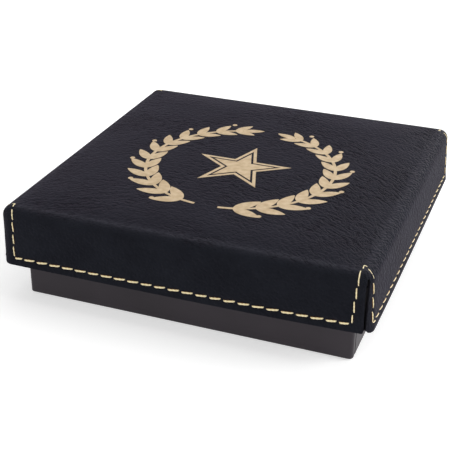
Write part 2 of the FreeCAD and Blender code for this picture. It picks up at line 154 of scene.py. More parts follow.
def length(description, millimetres):
    """A length, written in millimetres and kept in metres."""
    return bpy.props.FloatProperty(
        description=description, default=millimetres * MM, min=0.0, unit="LENGTH", precision=5)


def share(description, default):
    """A number from 0 to 1."""
    return bpy.props.FloatProperty(description=description, default=default, min=0.0, max=1.0)


def level(description, default):
    """A strength or other plain number."""
    return bpy.props.FloatProperty(description=description, default=default, min=0.0)


def angle(description, degrees):
    """An angle, written in degrees and kept in radians."""
    return bpy.props.FloatProperty(description=description, default=math.radians(degrees), subtype="ANGLE")


def count(description, default):
    """How many of something there are."""
    return bpy.props.IntProperty(description=description, default=default, min=1)


def linear(value):
    """A display value from 0 to 255 as linear light."""
    part = value / 255
    return part / 12.92 if part <= 0.04045 else ((part + 0.055) / 1.055) ** 2.4


def colour(description, red, green, blue):
    """A colour, written in display values from 0 to 255."""
    return bpy.props.FloatVectorProperty(
        description=description, default=(linear(red), linear(green), linear(blue), 1.0), subtype="COLOR",
        size=4, min=0.0, max=1.0)


class LeatherSettings(bpy.types.PropertyGroup):
    thickness: length("Thickness of the leatherette", 1.2)
    edge_roll: length("Radius of the rolled top edges", 2.7)
    corner_radius: length("Radius of the upright corners", 3.0)
    crown: length("How much higher the middle of the lid is than its edges", 0.6)
    crown_reach: length("How far in from the rolled edges the lid rises", 12.0)
    slit_drop: length("From the top down to the end of a corner slit", 1.19)
    slit_width: length("Width of a slit at its ends", 0.5)
    slit_gape: length("How much wider a slit stands open in its upper part", 0.45)
    slit_skew: length("How far a slit wanders round the corner on its way to the hem", 1.0)
    flap_round: length("Radius of the flap ends at the hem", 0.9)
    hem_climb: length("How much higher the hem is at the front right corner", 0.9)
    flap_climb: length("How much shorter the left flap is cut at the front left corner", 1.2)
    flap_reach: length("How far from that corner the shorter cut begins", 14.0)
    hem_curl: length("How far the hem stands off below its stitches", 0.1)
    splay: length("How much further out front and right side stand at the hem than at the top", 0.5)
    flare: length("How much further out still the right side stands at the hem", 0.3)
    groove_depth: length("How deep the thread pulls the leatherette in", 0.2)
    groove_width: length("Half width of the groove along a seam", 0.75)
    edge_ease: length("Rounding of the raw cut edges", 0.2)
    colour: colour("Colour of the leatherette", 33, 35, 41)
    # Painted shade in the creases of the grain; the cut edge also uses this colour for its darker fibres,
    # and the backing for the gaps between its threads
    crease: colour("Colour in the creases of the grain", 13, 13, 17)
    raw_edge: colour("Colour of the cut edges", 34, 32, 37)
    sheen: colour("Colour of the haze on the leatherette at a low angle", 243, 218, 255)
    # Painted highlight: the colour painted on where the top begins to roll down and along the flaps' free
    # edges, and how much of it the flaps get
    rubbed: colour("Colour where the folds are rubbed", 70, 71, 78)
    flap_highlight: share("How much the free edges of the flaps are rubbed", 0.9)
    wrinkle_spacing: length("From one wrinkle of the grain to the next", 1.1)
    wrinkle_length: length("Length of a wrinkle of the grain", 2.8)
    wrinkle_depth: length("Depth of the grain", 0.24)
    grain_lean: level("Slope of the wrinkles at the middle of the lid", 0.145)
    grain_fan: level("How much the slope of the wrinkles changes across the lid, per metre", 9.07)


class ThreadSettings(bpy.types.PropertyGroup):
    radius: length("Radius of the sewing thread", 0.28)
    tight_radius: length("Radius of the thread where it is pulled tight, at corners and sides", 0.185)
    hem_stitches: count("Stitches in each hem row", 25)
    column_stitches: count("Stitches up each side of a slit", 3)
    gap: length("Leatherette that shows between two stitches", 0.38)
    arch_inset: length("From a corner to the top of the stitches beside it", 3.6)
    foot_before: length("From a corner to the foot of the stitches before it, on the way round", 4.4)
    foot_after: length("From a corner to the foot of the stitches after it", 3.4)
    stand_off: length("How much further off its corners the stitches up the front are", 0.45)
    lean_in: length("How much nearer to its slit the front's right column stands at its top", 0.5)
    draw_in: length("How much nearer the stitches after the front right corner are", 1.4)
    arch_reach: length("How far the front right column runs on to the top before it turns", 3.9)
    arch_lean: length("How far the next column comes nearer to its corner over the edge", 2.0)
    turn_reach: length("How far other columns run on to the top", 0.9)
    turn_lean: length("How far they lean to their corners over the edge", 1.0)
    line_height: length(
        "From the hem up to its stitches", ((SEAM_LOW.z + SEAM_HIGH.z) / 2 - LID_LOW.z) * PER_METRE)
    hem_end: length("From a hem's last stitch to the stitches of the next corner", 0.3)
    rise: length("How far a stitch's middle stands off the leatherette", 0.02)
    flatness: share("How far a stitch is pressed flat", 0.3)
    sink: length("How far a stitch's ends go into the leatherette", 0.5)
    tilt: angle("How far a stitch leans from its seam", 5.5)
    back_tilt: angle("How far a stitch leans where a hem is sewn from its other end", -8.0)
    twist: level("Turns of the yarns in one stitch", 1.1)
    colour: colour("Colour of the thread", 255, 238, 190)
    # Painted shade on the sides of each stitch and between its yarns
    shade: colour("Colour between the yarns", 168, 112, 34)


class OrnamentSettings(bpy.types.PropertyGroup):
    offset: bpy.props.FloatProperty(
        description="How far the ornament sits back from the middle of the lid", default=-3 * MM,
        unit="LENGTH", precision=5)
    wreath_radius: length("Radius of the wreath's stems", 27.0)
    stem_width: length("Width of the wreath's stems", 0.9)
    stem_start: angle("Where the right-hand stem begins, from the right", -82.0)
    stem_sweep: angle("How far a stem goes round", 154.0)
    leaf_pairs: count("Pairs of leaves on each branch", 12)
    leaf_length: length("Length of a leaf", 8.6)
    leaf_width: length("Width of a leaf", 3.2)
    leaf_lean: angle("How far a leaf leans from its stem", 33.0)
    star_radius: length("From the middle of the star to its points", 14.5)
    thickness: length("Thickness of the gold layer", 0.08)
    colour: colour("Colour of the gold layer", 207, 185, 152)
    shade: colour("Colour of the gold where it is thin", 174, 146, 106)


class BaseSettings(bpy.types.PropertyGroup):
    corner_radius: length("Radius of the upright corners", 1.1)
    edge_round: length("Radius of the rim and of the bottom edge", 0.5)
    paper_thickness: length("Thickness of the covering paper", 0.25)
    wall: length("Board and both layers of paper at the rim", 2.6)
    turn_in: length("How far the paper goes down inside", 14.0)
    turn_under: length("How far the paper goes under the bottom", 12.0)
    seam_inset: length("From a corner to the seam where the side papers begin", 2.4)
    seam_width: length("Width of the seams beside the corners", 0.9)
    seam_depth: length("Depth of the seams beside the corners", 0.15)
    paper: colour("Colour of the covering paper", 55, 50, 55)
    lining: colour("Colour of the lining paper", 27, 25, 28)
    # Painted shade: the board is coloured dark so that the corner slits, where it shows, look shaded
    board: colour("Colour of the shade_darkened board", 40, 38, 39)
    # Painted shade: the stays are coloured dark so that the corner slits, where they show, look shaded
    stay: colour("Colour of the corner stays", 30, 28, 31)


class InsertSettings(bpy.types.PropertyGroup):
    edge_ease: length("Rounding of the die-cut edges", 0.7)
    corner_radius: length("Radius of the upright corners", 2.0)
    recess_radius: length("Radius of the medallion's recess", 35.3)
    notch_radius: length("Radius of the thumb notches", 9.0)
    facing: colour("Colour of the velour facing", 24, 22, 26)
    foam: colour("Colour of the foam", 38, 37, 40)


class StageSettings(bpy.types.PropertyGroup):
    eye: bpy.props.FloatVectorProperty(
        description="Where the camera stands", default=(0.09259, -0.26187, 0.15052), subtype="XYZ",
        unit="LENGTH")
    yaw: angle("Turn of the camera from straight at the front", -20.60)
    pitch: angle("How far the camera looks down", 27.19)
    roll: angle("Turn of the picture", -0.53)
    lens: bpy.props.FloatProperty(
        description="Focal length in millimetres on a 36 mm sensor", default=84.37, min=1.0)
    floor_size: length("Width of the floor", 4000.0)
    floor: share("How light the floor is", 0.8)
    lift: level("What the camera sees of the floor on top of its light", 0.5)
    ambient: level("Light from all round", 0.34)
    key: level("Strength of the large light at the right", 8.8)
    top: level("Strength of the light overhead", 2.5)
    fill: level("Strength of the weak light in front", 5.1)
    rim: level("Strength of the low light behind the object", 5.0)


GROUPS = {
    "box_leather": LeatherSettings,
    "box_thread": ThreadSettings,
    "box_ornament": OrnamentSettings,
    "box_base": BaseSettings,
    "box_insert": InsertSettings,
    "box_stage": StageSettings,
}


# Modelling by hand

def deselect():
    """Object mode with nothing selected."""
    if bpy.context.object and bpy.context.object.mode != "OBJECT":
        bpy.ops.object.mode_set(mode="OBJECT")
    bpy.ops.object.select_all(action="DESELECT")


def activate(piece):
    """Select only this piece and make it the active one."""
    deselect()
    piece.select_set(True)
    bpy.context.view_layer.objects.active = piece


def settle(name):
    """Name the new primitive, put its place and size into its mesh, and hand it back."""
    piece = bpy.context.object
    piece.name = name
    piece.data.name = name
    bpy.ops.object.transform_apply(location=True, rotation=True, scale=True)
    return piece


def select_parts(piece, kind, wanted):
    """Edit mode with the vertices, edges or faces selected for which wanted() is true."""
    activate(piece)
    bpy.ops.object.mode_set(mode="EDIT")
    bpy.ops.mesh.select_mode(type={"vertices": "VERT", "edges": "EDGE", "polygons": "FACE"}[kind])
    bpy.ops.mesh.select_all(action="DESELECT")
    bpy.ops.object.mode_set(mode="OBJECT")
    for part in getattr(piece.data, kind):
        part.select = wanted(part)
    bpy.ops.object.mode_set(mode="EDIT")


def ends(piece, edge):
    """The two ends of an edge."""
    return tuple(piece.data.vertices[index].co for index in edge.vertices)


def clean(piece):
    """Merge doubled points and turn every face outwards."""
    activate(piece)
    bpy.ops.object.mode_set(mode="EDIT")
    bpy.ops.mesh.select_all(action="SELECT")
    bpy.ops.mesh.remove_doubles(threshold=MERGE)
    bpy.ops.mesh.normals_make_consistent(inside=False)
    bpy.ops.object.mode_set(mode="OBJECT")


def apply(piece, kind, **settings):
    """Add a modifier and apply it."""
    modifier = piece.modifiers.new(kind.title(), kind)
    for name, value in settings.items():
        setattr(modifier, name, value)
    activate(piece)
    bpy.ops.object.modifier_apply(modifier=modifier.name)


def ease_edges(piece, width, segments, degrees):
    """Round every edge that is sharper than this."""
    limit = math.radians(degrees)
    apply(piece, "BEVEL", width=width, segments=segments, limit_method="ANGLE", angle_limit=limit)


def smooth(piece, degrees=CRISP):
    """Shade smooth, with edges sharper than this left crisp."""
    activate(piece)
    bpy.ops.object.shade_smooth_by_angle(angle=math.radians(degrees))


def join(pieces, name):
    """Make one piece of several."""
    activate(pieces[0])
    for piece in pieces[1:]:
        piece.select_set(True)
    bpy.ops.object.join()
    pieces[0].name = name
    pieces[0].data.name = name
    return pieces[0]


def copy_of(piece):
    """A copy with a mesh of its own."""
    twin = piece.copy()
    twin.data = piece.data.copy()
    bpy.context.scene.collection.objects.link(twin)
    return twin


def points_of(piece):
    """The points of a piece's mesh, one row each."""
    points = np.empty(len(piece.data.vertices) * 3)
    piece.data.vertices.foreach_get("co", points)
    return points.reshape(-1, 3)


def set_points(piece, points):
    """Move the points of a piece's mesh."""
    piece.data.vertices.foreach_set("co", np.ascontiguousarray(points).ravel())
    piece.data.update()


def carry(piece, name, values):
    """Let a piece's mesh carry one number for each of its points."""
    piece.data.attributes.new(name, "FLOAT", "POINT").data.foreach_set("value", values)


def dress(piece, material):
    """Give a piece one material."""
    piece.data.materials.clear()
    piece.data.materials.append(material)


# Skins wrapped round a square block

def skin_columns(straight, lean_limit, arc_steps):
    """Upright lines once round: place along a side from -1 to 1, lean round its corners, quarter turn."""
    bend = np.linspace(lean_limit, 0, arc_steps + 1)[:-1]
    along = np.concatenate([np.full(arc_steps, -1.0), straight, np.full(arc_steps, 1.0)])
    lean = np.concatenate([-bend, np.zeros(len(straight)), bend[::-1]])
    quarter = np.repeat(np.arange(len(SIDES)), len(along))
    return np.tile(along, len(SIDES)), np.tile(lean, len(SIDES)), quarter


def skin_places(half, radius, along, lean, inset):
    """Distance along each side and out from the middle, for every row of the skin and every column."""
    reach = (half - np.maximum(inset, radius))[:, None]
    arm = np.maximum(radius - inset, 0)[:, None]
    return along[None, :] * reach + np.sin(lean) * arm, reach + np.cos(lean) * arm


def wrap(name, side, out, height, quarter, left_out):
    """A grid bent round the block and closed into a ring, without the faces for which left_out is true."""
    rows, columns = side.shape
    deselect()
    bpy.ops.mesh.primitive_grid_add(x_subdivisions=columns, y_subdivisions=rows - 1, size=1)
    piece = settle(name)
    select_parts(piece, "polygons", lambda face: left_out(*divmod(face.index, columns)))
    bpy.ops.mesh.delete(type="ONLY_FACE")
    bpy.ops.object.mode_set(mode="OBJECT")
    turn = quarter[None, :] * QUARTER
    x = side * np.cos(turn) + out * np.sin(turn)
    y = side * np.sin(turn) - out * np.cos(turn)
    points = np.stack([x, y, np.broadcast_to(height, x.shape)], axis=-1)
    set_points(piece, np.concatenate([points, points[:, :1]], axis=1).reshape(-1, 3))
    clean(piece)
    return piece


def arc(steps):
    """Angles of a quarter turn in even steps."""
    return np.linspace(0, QUARTER, steps + 1)


# Leather cover

def leather_profile(look, thread):
    """Inset and height of the cover's rows, from the middle of the top over the roll to the hem."""
    roll = look.edge_roll
    half, top, hem = LID_HIGH.x, LID_HIGH.z, LID_LOW.z
    line = hem + thread.line_height
    near, clear = GROOVE_ROWS_REACH * look.groove_width, GROOVE_ROWS_END * look.groove_width
    rise_end = roll + look.crown_reach
    rows = LEATHER_ROWS
    rings = np.concatenate([
        np.linspace(half, rise_end, rows["flat"]),
        np.linspace(rise_end, roll, rows["rise"])[1:-1],
    ])
    bend = arc(rows["roll"])
    wall = np.concatenate([
        np.linspace(top - roll, line + clear, rows["wall"])[1:],
        np.linspace(line + near, line - near, rows["groove"]),
        np.linspace(line - clear, hem, rows["hem"]),
    ])
    inset = np.concatenate([rings, roll * (1 - np.sin(bend)), np.zeros(len(wall))])
    height = np.concatenate([np.full(len(rings), top), top - roll * (1 - np.cos(bend)), wall])
    return inset, height


def leather_columns(look, lean_limit, half):
    """Upright lines of the cover, closer together beside the corners."""
    dense = BESIDE_CORNER * look.corner_radius / (half - look.corner_radius)
    straight = np.concatenate([
        np.linspace(-1, dense - 1, LEATHER_COLUMNS["beside"])[:-1],
        np.linspace(dense - 1, 1 - dense, LEATHER_COLUMNS["side"])[:-1],
        np.linspace(1 - dense, 1, LEATHER_COLUMNS["beside"]),
    ])
    return skin_columns(straight, lean_limit, LEATHER_COLUMNS["bend"])


def hem_lift(look, x, y, height):
    """How far the hand-cut hem climbs towards the front right corner, less and less on the way up."""
    towards_corner = (x / LID_HIGH.x + 1) / 2 * (1 - y / LID_HIGH.y) / 2
    fall = (LID_HIGH.z - height) / (LID_HIGH.z - LID_LOW.z)
    return look.hem_climb * np.clip(towards_corner, 0, 1) ** CLIMB_ONSET * np.clip(fall, 0, 1)


def splayed(look, points):
    """The cover with its front and its right side standing out towards the hem, the right side most."""
    x, y, height = points.T
    rise = np.clip((height - LID_LOW.z) / (LID_HIGH.z - look.edge_roll - LID_LOW.z), 0, 1)
    to_right, to_front = (x / LID_HIGH.x + 1) / 2, (1 - y / LID_HIGH.y) / 2
    standing = look.flare * np.clip(x / LID_HIGH.x, 0, 1) ** FLARE_ONSET * (1 - rise)
    x = x - look.splay * rise * to_right + standing
    y = y + look.splay * rise * to_front
    return np.stack([x, y, height], axis=1)


def crown_lift(look, x, y):
    """How far the padded top stands above its edges: soon at the edges, and no more towards the middle."""
    flat = LID_HIGH.x - look.edge_roll
    risen = [np.clip((flat - np.abs(place)) / look.crown_reach, 0, 1) for place in (x, y)]
    return look.crown * np.prod([(1 - np.cos(np.pi * part ** CROWN_SWELL)) / 2 for part in risen], axis=0)


def leather_shape(look, thread, columns, profile, lean_limit):
    """Place along the side, out from the middle and height of every point of the folded leatherette."""
    along, lean, quarter = columns
    inset, height = profile
    half, top, hem = LID_HIGH.x, LID_HIGH.z, LID_LOW.z
    slit_end = top - look.slit_drop
    line = hem + thread.line_height
    below_slit = np.clip((slit_end - height) / (slit_end - hem), 0, 1)[:, None]
    widening = look.slit_gape * np.sin(np.pi * np.sqrt(below_slit)) / 2 / look.corner_radius
    skew = look.slit_skew * np.sqrt(below_slit) / look.corner_radius
    leaning = lean[None, :] - (widening * np.sign(lean) + skew) * (np.abs(lean) / lean_limit)
    side, out = skin_places(half, look.corner_radius, along, leaning, inset)

    from_slit = (lean_limit - np.abs(lean)) * look.corner_radius
    from_slit = from_slit + (1 - np.abs(along)) * (half - look.corner_radius)
    on_wall = (height <= top - look.edge_roll + MERGE)[:, None]
    down = np.clip((top - look.edge_roll - height) / (top - look.edge_roll - line), 0, 1)[:, None]
    off_line = (height[:, None] - line) / look.groove_width
    off_column = np.abs(side) - half + column_inset(thread, quarter[None, :], side > 0, down)
    off_column = off_column / look.groove_width
    above_line = 1 / (1 + np.exp(-SEAM_END * off_line))
    inside_columns = 1 / (1 + np.exp(SEAM_END * off_column))
    pull = np.maximum(np.exp(-off_line ** 2) * inside_columns, np.exp(-off_column ** 2) * above_line)
    below_line = np.clip((line - height) / (line - hem), 0, 1)[:, None]
    out = out - look.groove_depth * pull * on_wall + look.hem_curl * below_line ** 2

    short = np.clip(look.flap_round - from_slit, 0, None)
    rise = look.flap_round - np.sqrt(look.flap_round ** 2 - short ** 2)
    shorter = np.clip(1 - (1 - along) * half / look.flap_reach, 0, 1) * (quarter == SIDES.index("left"))
    rise = rise + look.flap_climb * shorter ** 2
    return side, out, height[:, None] + rise[None, :] * below_line


def unfolded(points, look):
    """Where each point lay on the flat sheet before it was folded over the lid."""
    flat = LID_HIGH.x - look.edge_roll
    held = np.clip(points[:, :2], -flat, flat)
    over = points[:, :2] - held
    reach = np.linalg.norm(over, axis=1, keepdims=True)
    drop = np.clip(LID_HIGH.z - points[:, 2:], 0, None)
    away = over / np.maximum(reach, MERGE)
    return np.concatenate([held + away * (reach + drop), np.zeros_like(drop)], axis=1)


def painted_fold_highlight(points, look):
    """How much lighter each point is painted, a painted highlight: where the top begins to roll down, and
    along the flaps' free edges.
    """
    from_edge = LID_HIGH.x - np.abs(points[:, :2]).max(axis=1)
    off_fold = (from_edge - FOLD_PLACE * look.edge_roll) / (FOLD_WIDTH * look.edge_roll)
    on_top = np.exp(-off_fold ** 2) * (points[:, 2] > LID_HIGH.z - look.edge_roll / 2)
    past_bend = np.abs(points[:, :2]) - LID_HIGH.x + look.corner_radius
    at_slit = np.clip(past_bend.min(axis=1) / look.corner_radius, 0, 1)
    return np.maximum(on_top, look.flap_highlight * at_slit * (points[:, 2] < LID_HIGH.z - look.edge_roll))


def make_cover(look, thread):
    """The leatherette: one sheet folded over the lid, slit at the corners and drawn in along its seams."""
    lean_limit = QUARTER / 2 - look.slit_width / 2 / look.corner_radius
    columns = leather_columns(look, lean_limit, LID_HIGH.x)
    profile = leather_profile(look, thread)
    side, out, height = leather_shape(look, thread, columns, profile, lean_limit)
    slit_row = int(np.argmax(profile[1] < LID_HIGH.z - look.slit_drop + MERGE))
    per_side = len(columns[0]) // len(SIDES)
    piece = wrap(
        "lid_leather", side, out, height, columns[2],
        lambda row, column: row >= slit_row and column % per_side == per_side - 1)
    points = points_of(piece)
    points[:, 2] += hem_lift(look, *points.T) + crown_lift(look, *points[:, :2].T)
    set_points(piece, points)
    for material in (leather_material(look), backing_material(look), raw_edge_material(look)):
        piece.data.materials.append(material)
    apply(
        piece, "SOLIDIFY", thickness=look.thickness, offset=-1.0, use_even_offset=True, material_offset=1,
        material_offset_rim=2)
    ease_edges(piece, look.edge_ease, segments=2, degrees=EASED_LEATHER)
    clean(piece)
    sheet = piece.data.attributes.new(SHEET, "FLOAT_VECTOR", "POINT")
    sheet.data.foreach_set("vector", unfolded(points_of(piece), look).ravel())
    # Every point carries its share of the painted highlight
    carry(piece, FOLD_HIGHLIGHT, painted_fold_highlight(points_of(piece), look))
    set_points(piece, splayed(look, points_of(piece)))
    smooth(piece)
    return piece


# Stitching

def column_inset(thread, quarter, before, down):
    """How far a column of stitches stands from the corner that it comes before or after, at each height."""
    foot = np.where(before, thread.foot_before, thread.foot_after)
    on_front = quarter == SIDES.index("front")
    first_on_right = (quarter == SIDES.index("right")) & np.logical_not(before)
    drawn = thread.stand_off * on_front - thread.draw_in * first_on_right
    drawn = drawn - thread.lean_in * (1 - down) * (on_front & before)
    return thread.arch_inset + (foot - thread.arch_inset) * down + drawn


def stitch_pattern(thread, thickness):
    """One stitch of unit length along X: twisted yarns whose ends bend down into the leatherette."""
    deselect()
    bpy.ops.mesh.primitive_cylinder_add(
        vertices=STITCH_SIDES, radius=thickness, depth=1, end_fill_type="NGON", rotation=(0, QUARTER, 0))
    piece = settle("stitch")
    select_parts(piece, "edges", lambda edge: abs(ends(piece, edge)[0].x - ends(piece, edge)[1].x) > 0.5)
    bpy.ops.mesh.subdivide(number_cuts=STITCH_CUTS)
    bpy.ops.object.mode_set(mode="OBJECT")
    x, y, z = points_of(piece).T
    end = np.abs(2 * x)
    turn = np.arctan2(z, y)
    lobes = 1 + YARN_LOBE * np.cos(YARNS * (turn - thread.twist * FULL_TURN * x))
    radius = thickness * lobes * (1 - END_TAPER * end ** TAPER_ONSET)
    seat = thread.rise - (thread.radius - thickness)
    crown = seat - (thread.rise + thread.sink) * end ** SINK_ONSET
    pressed = (1 - thread.flatness) * radius * np.sin(turn)
    set_points(piece, np.stack([x, radius * np.cos(turn), pressed + crown], axis=1))
    # Painted shade: a stitch is lightest where it faces out, and darker down its sides and between its
    # yarns
    carry(piece, STITCH_SHADE, np.clip(np.sin(turn), 0, 1) + (lobes - 1) * YARN_LIGHT)
    return piece


def side_axes(quarter):
    """Along and out of one side of the lid."""
    turn = quarter * QUARTER
    return np.array([math.cos(turn), math.sin(turn), 0]), np.array([math.sin(turn), -math.cos(turn), 0])


def on_wall(look, quarter, place, height):
    """Points on a side of the cover, with outward normals, from places along it and heights."""
    along, out = side_axes(quarter)
    rounding = np.clip((np.abs(place) - LID_HIGH.x) / look.corner_radius + 1, 0, 1)
    turn = np.arcsin(rounding) * np.sign(place)
    normals = np.outer(np.cos(turn), out) + np.outer(np.sin(turn), along)
    away = LID_HIGH.x - look.corner_radius * (1 - np.cos(turn))
    return np.outer(place, along) + np.outer(away, out) + np.outer(height, UP), normals


def hem_seam(look, thread, quarter):
    """The line of one hem's stitches, from the column after one corner to the column before the next."""
    start = column_inset(thread, quarter, False, 1.0) - LID_HIGH.x
    end = LID_HIGH.x - column_inset(thread, quarter, True, 1.0) - thread.hem_end
    place = np.linspace(start, end, HEM_POINTS)
    return on_wall(look, quarter, place, np.full(len(place), LID_LOW.z + thread.line_height))


def column_seam(look, thread, quarter, before):
    """The line of stitches up one side of a slit and over the rolled edge on to the top."""
    shoulder = LID_HIGH.z - look.edge_roll
    down = np.linspace(1, 0, COLUMN_POINTS)
    place = (LID_HIGH.x - column_inset(thread, quarter, before, down)) * (1 if before else -1)
    height = shoulder - down * (shoulder - LID_LOW.z - thread.line_height)
    points, normals = on_wall(look, quarter, place, height)
    bend = arc(COLUMN_POINTS - 1)[1:]
    over = np.outer(np.cos(bend), normals[-1]) + np.outer(np.sin(bend), UP)
    lean = thread.arch_lean if quarter == SIDES.index("right") else -thread.turn_lean
    aside = np.outer(1 - np.cos(bend), side_axes(quarter)[0]) * (0 if before else lean)
    points = np.concatenate([points, points[-1] + look.edge_roll * (over - normals[-1]) + aside])
    return points, np.concatenate([normals, over])


def corner_seam(look, thread, quarter):
    """The whole line at one corner: up beside the slit, round its end on the top and down the next side."""
    points, normals = column_seam(look, thread, quarter, True)
    next_points, next_normals = column_seam(look, thread, (quarter + 1) % len(SIDES), False)
    reach = thread.arch_reach if quarter == SIDES.index("front") else thread.turn_reach
    inward = [-normals[0] * reach, -next_normals[0] * thread.turn_reach]
    corners = [points[-1], points[-1] + inward[0], next_points[-1] + inward[1], next_points[-1]]
    done = np.linspace(0, 1, ARCH_POINTS)[1:-1, None]
    left = 1 - done
    weights = (left ** 3, 3 * left ** 2 * done, 3 * left * done ** 2, done ** 3)
    arch = sum(weight * corner for weight, corner in zip(weights, corners))
    upward = np.tile(np.array(UP), (len(arch), 1))
    return (
        np.concatenate([points, arch, next_points[::-1]]),
        np.concatenate([normals, upward, next_normals[::-1]]))


def along_seam(points, normals, lengths):
    """Places, directions and outward normals at these lengths along a seam."""
    run = np.concatenate([[0.0], np.cumsum(np.linalg.norm(np.diff(points, axis=0), axis=1))])

    def at(values, where):
        return np.stack([np.interp(where, run, column) for column in values.T], axis=1)

    def unit(vectors):
        return vectors / np.linalg.norm(vectors, axis=1, keepdims=True)

    step = 0.1 * MM
    forward = unit(at(points, lengths + step) - at(points, lengths - step))
    return at(points, lengths), forward, unit(at(normals, lengths))


def lay_stitch(pattern, seam, middle, pitch, tilt, thread, chance):
    """One copy of the stitch, laid along its seam; on the top the stitches lie end to end."""
    piece = copy_of(pattern)
    x, y, z = points_of(piece).T
    on_top = along_seam(*seam, np.array([middle]))[2][0, 2]
    x = x * (pitch - thread.gap * (1 - 2 * on_top)) * (1 + LENGTH_CHANCE * chance.standard_normal())
    lean = tilt * (1 + LEAN_CHANCE * chance.standard_normal())
    x, y = x * np.cos(lean) - y * np.sin(lean), x * np.sin(lean) + y * np.cos(lean)
    places, forward, out = along_seam(*seam, middle + x)
    set_points(piece, places + y[:, None] * np.cross(out, forward) + z[:, None] * out)
    carry(piece, TONE, np.full(len(x), chance.random()))
    return piece


def sew(name, pattern, seam, shares, tilt, thread, chance):
    """All stitches of one seam as one piece, each with its share of the seam's length."""
    whole = np.linalg.norm(np.diff(seam[0], axis=0), axis=1).sum()
    pitches = np.array(shares) / np.sum(shares) * whole
    middles = np.cumsum(pitches) - pitches / 2
    stitches = [
        lay_stitch(pattern, seam, middle, pitch, tilt, thread, chance)
        for middle, pitch in zip(middles, pitches)]
    piece = join(stitches, name)
    clean(piece)
    smooth(piece, CRISP_THREAD)
    return piece


def hem_shares(thread):
    """Lengths of a hem's stitches: a short one first and two shorter ones where the sewing stops."""
    shares = np.ones(thread.hem_stitches)
    shares[0] = FIRST_STITCH
    shares[-len(LAST_STITCHES):] = LAST_STITCHES
    return shares


def corner_shares(thread):
    """Lengths of a corner's stitches: the columns, and between them the three that go over the slit."""
    column = [1.0] * thread.column_stitches
    return [FOOT_STITCH] + column[1:] + ARCH_STITCHES + column


# Ornament

def leaf_pattern(look):
    """One leaf along X, a pointed oval."""
    deselect()
    bpy.ops.mesh.primitive_circle_add(vertices=LEAF_POINTS, radius=1, fill_type="NGON")
    piece = settle("leaf")
    x, y, z = points_of(piece).T
    broad = look.leaf_width / 2 * (1 - LEAF_TAPER * x)
    x = (x + 1) / 2 * look.leaf_length
    set_points(piece, np.stack([x, y * np.abs(y) ** LEAF_POINT * broad, z], axis=1))
    return piece


def stem_strip(look):
    """A flat curved stem, spun about the middle from one short edge."""
    deselect()
    bpy.ops.mesh.primitive_plane_add(size=look.stem_width, location=(look.wreath_radius, 0, 0))
    piece = settle("stem")
    select_parts(piece, "vertices", lambda point: point.co.y > 0)
    bpy.ops.mesh.delete(type="VERT")
    bpy.ops.mesh.select_all(action="SELECT")
    bpy.ops.mesh.spin(steps=STEM_STEPS, angle=-look.stem_sweep, center=(0, 0, 0), axis=(0, 0, 1))
    bpy.ops.object.mode_set(mode="OBJECT")
    piece.data.transform(turned(look.stem_start))
    return piece


def star_shape(radius, rim):
    """A flat star, or only its outline where a rim is given."""
    deselect()
    bpy.ops.mesh.primitive_circle_add(vertices=2 * STAR_POINTS, radius=radius, fill_type="NGON")
    piece = settle("star")
    points = points_of(piece)
    half_tip = QUARTER / STAR_POINTS
    points[1::2] *= math.sin(half_tip) / math.sin(3 * half_tip)
    set_points(piece, points)
    if rim:
        select_parts(piece, "polygons", lambda face: True)
        bpy.ops.mesh.inset(thickness=rim)
        bpy.ops.mesh.delete(type="FACE")
        bpy.ops.object.mode_set(mode="OBJECT")
    return piece


def moved(pattern, *matrices):
    """A copy of a flat shape, moved by these matrices, the last one first."""
    piece = copy_of(pattern)
    for matrix in reversed(matrices):
        piece.data.transform(matrix)
    return piece


def turned(radians):
    """A turn about the upright axis."""
    return Matrix.Rotation(radians, 4, "Z")


def branch_leaves(look, leaf, berry):
    """Leaves and berries of the right-hand branch: pairs along its stem and one leaf at the tip."""
    shapes = []
    on_stem = Matrix.Translation((look.wreath_radius, 0, 0))
    beside_stem = Matrix.Translation((look.wreath_radius + look.leaf_width * BERRY_OFF, 0, 0))
    for pair in range(look.leaf_pairs):
        place = turned(look.stem_start + look.stem_sweep * (pair + FIRST_PAIR) / look.leaf_pairs)
        size = Matrix.Scale(1 - LEAF_TAPER * pair / look.leaf_pairs, 4)
        for hand in (-1, 1):
            shapes.append(moved(leaf, place, on_stem, turned(QUARTER + hand * look.leaf_lean), size))
        if pair % 2:
            shapes.append(moved(berry, place, beside_stem))
    tip = turned(look.stem_start + look.stem_sweep)
    shapes.append(moved(leaf, tip, on_stem, turned(QUARTER), Matrix.Scale(1 - LEAF_TAPER, 4)))
    return shapes


def both_hands(shape, name):
    """A flat shape and its mirror image as one piece."""
    return join([shape, moved(shape, Matrix.Scale(-1, 4, (1, 0, 0)))], name)


def thicken(piece, look):
    """Give flat shapes the thickness of the gold layer."""
    clean(piece)
    apply(piece, "SOLIDIFY", thickness=look.thickness, offset=0.0)
    clean(piece)
    return piece


def make_ornament(look, height):
    """A laurel wreath round a star, laid into the leatherette of the lid's top at this height."""
    leaf = leaf_pattern(look)
    deselect()
    bpy.ops.mesh.primitive_circle_add(
        vertices=BERRY_POINTS, radius=look.stem_width * BERRY_SIZE, fill_type="NGON")
    berry = settle("berry")
    leaves = thicken(both_hands(join(branch_leaves(look, leaf, berry), "leaves"), "lid_ornament"), look)
    stems = thicken(both_hands(stem_strip(look), "stems"), look)
    apply(leaves, "BOOLEAN", operation="UNION", solver="EXACT", use_self=True, object=stems)
    outline = thicken(star_shape(look.star_radius, look.stem_width), look)
    star = thicken(star_shape(look.star_radius * STAR_CORE, 0), look)
    for pattern in (leaf, berry, stems):
        bpy.data.objects.remove(pattern)
    piece = join([leaves, outline, star], "lid_ornament")
    piece.data.transform(Matrix.Translation((0, look.offset, height)))
    return piece


# Paper wrap of the base

